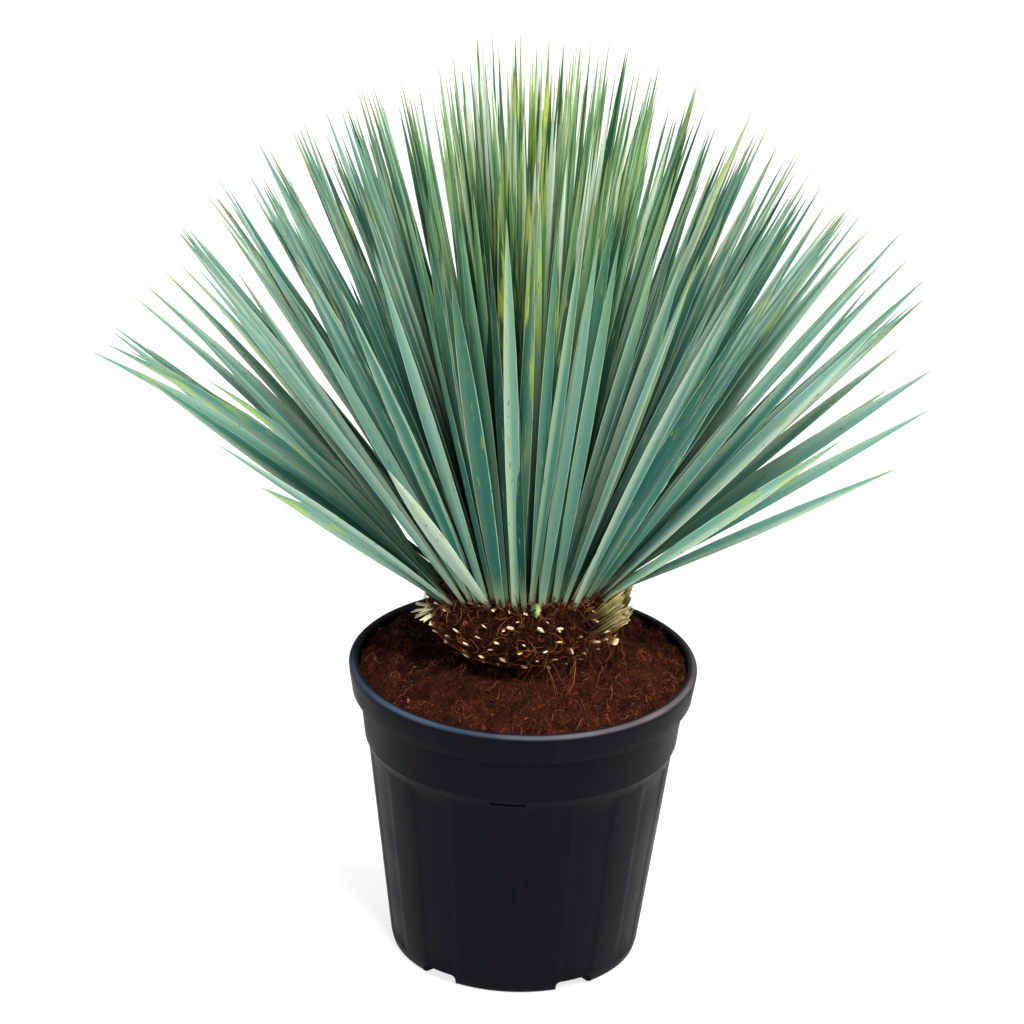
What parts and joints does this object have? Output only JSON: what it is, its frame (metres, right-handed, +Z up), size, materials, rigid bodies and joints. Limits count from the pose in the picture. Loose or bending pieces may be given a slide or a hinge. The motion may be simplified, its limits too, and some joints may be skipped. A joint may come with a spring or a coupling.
{
  "type": "potted beaked yucca",
  "caption": "Beaked yucca with a dense rounded head of stiff blue-green sword leaves on a short swollen trunk, standing in soil in a black nursery pot.",
  "frame": {"origin": "centre of the pot's underside, on the surface that it stands on", "axes": "+Z up, the trimmed front of the plant towards -Y, +X to the right seen from the front"},
  "size_m": [0.6653, 0.6537, 0.7587],
  "materials": {
    "pot": "black moulded plastic with a soft grey shine and dusty streaks",
    "soil": "red-brown fibrous compost, matt",
    "trunk": "brown fibrous stump with cream cut leaf ends",
    "leaves": "smooth waxy blue-green leaf with thin yellow edges and brown tips"
  },
  "bodies": {
    "root": {"pot": "pot", "soil": "soil", "trunk": "trunk", "leaf_head": "leaves"}
  },
  "joints": []
}
